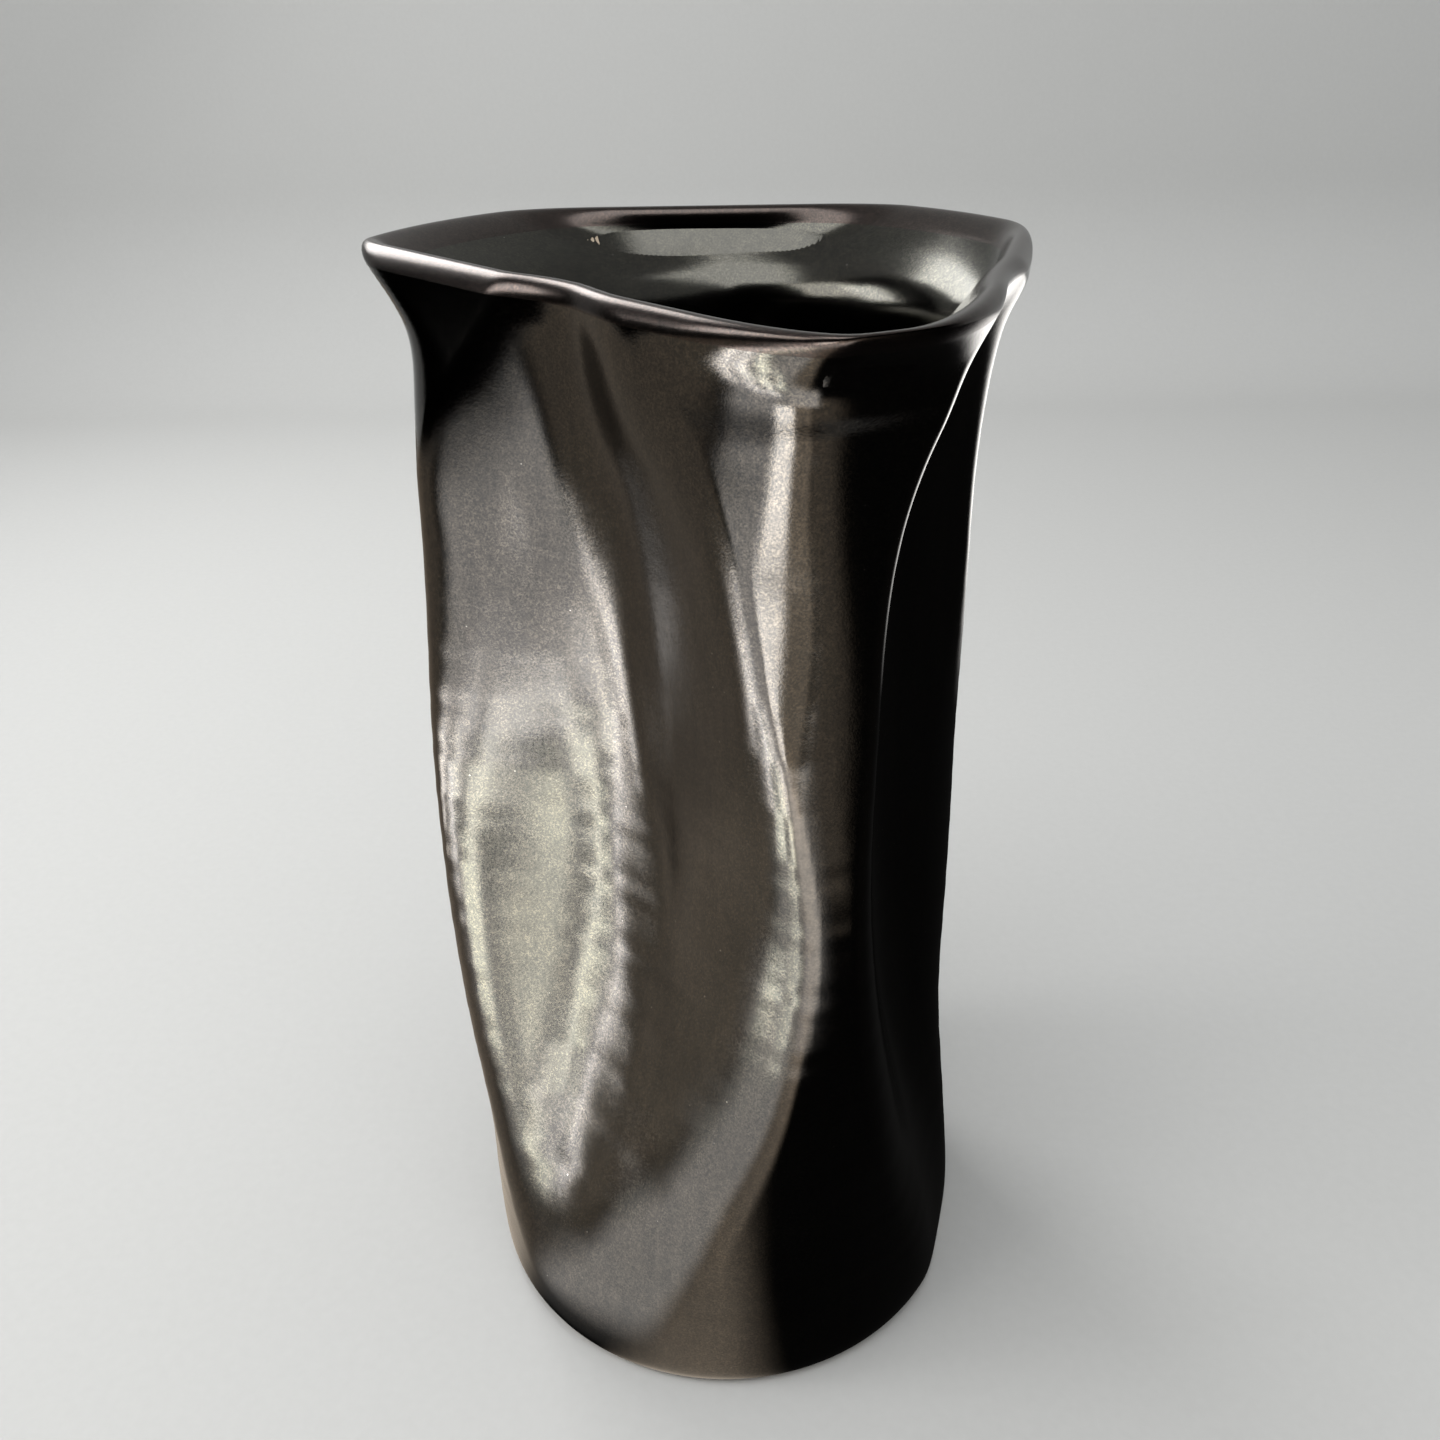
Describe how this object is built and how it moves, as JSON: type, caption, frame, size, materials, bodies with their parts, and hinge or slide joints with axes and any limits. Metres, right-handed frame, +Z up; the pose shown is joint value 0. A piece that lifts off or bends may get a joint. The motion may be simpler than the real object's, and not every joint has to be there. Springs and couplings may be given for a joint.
{
  "type": "vase",
  "caption": "Wheel-thrown clay vase with three pushed-in sides, a rounded three-cornered flared mouth and dark metallic glaze.",
  "frame": {"origin": "centre of the flat foot, on the surface that the vase stands on", "axes": "+Z up along the throwing axis to the mouth; the widest pushed-in side faces -X and -Y, and a column stands near -Y"},
  "size_m": [0.114, 0.1111, 0.205],
  "materials": {
    "clay": "fired stoneware, matt",
    "bare_foot": "bare fired clay, matt",
    "dark_glaze": "black-brown metallic glaze, satin gloss",
    "liner_glaze": "black-olive metallic glaze, glossy",
    "lip_glaze": "thin glaze broken to grey-brown, satin gloss"
  },
  "bodies": {
    "root": {"clay_wall": "clay", "base_slab": "clay", "foot_ring": "bare_foot", "outer_glaze": "dark_glaze", "inner_glaze": "liner_glaze", "floor_glaze": "liner_glaze", "lip_glaze": "lip_glaze"}
  },
  "joints": []
}
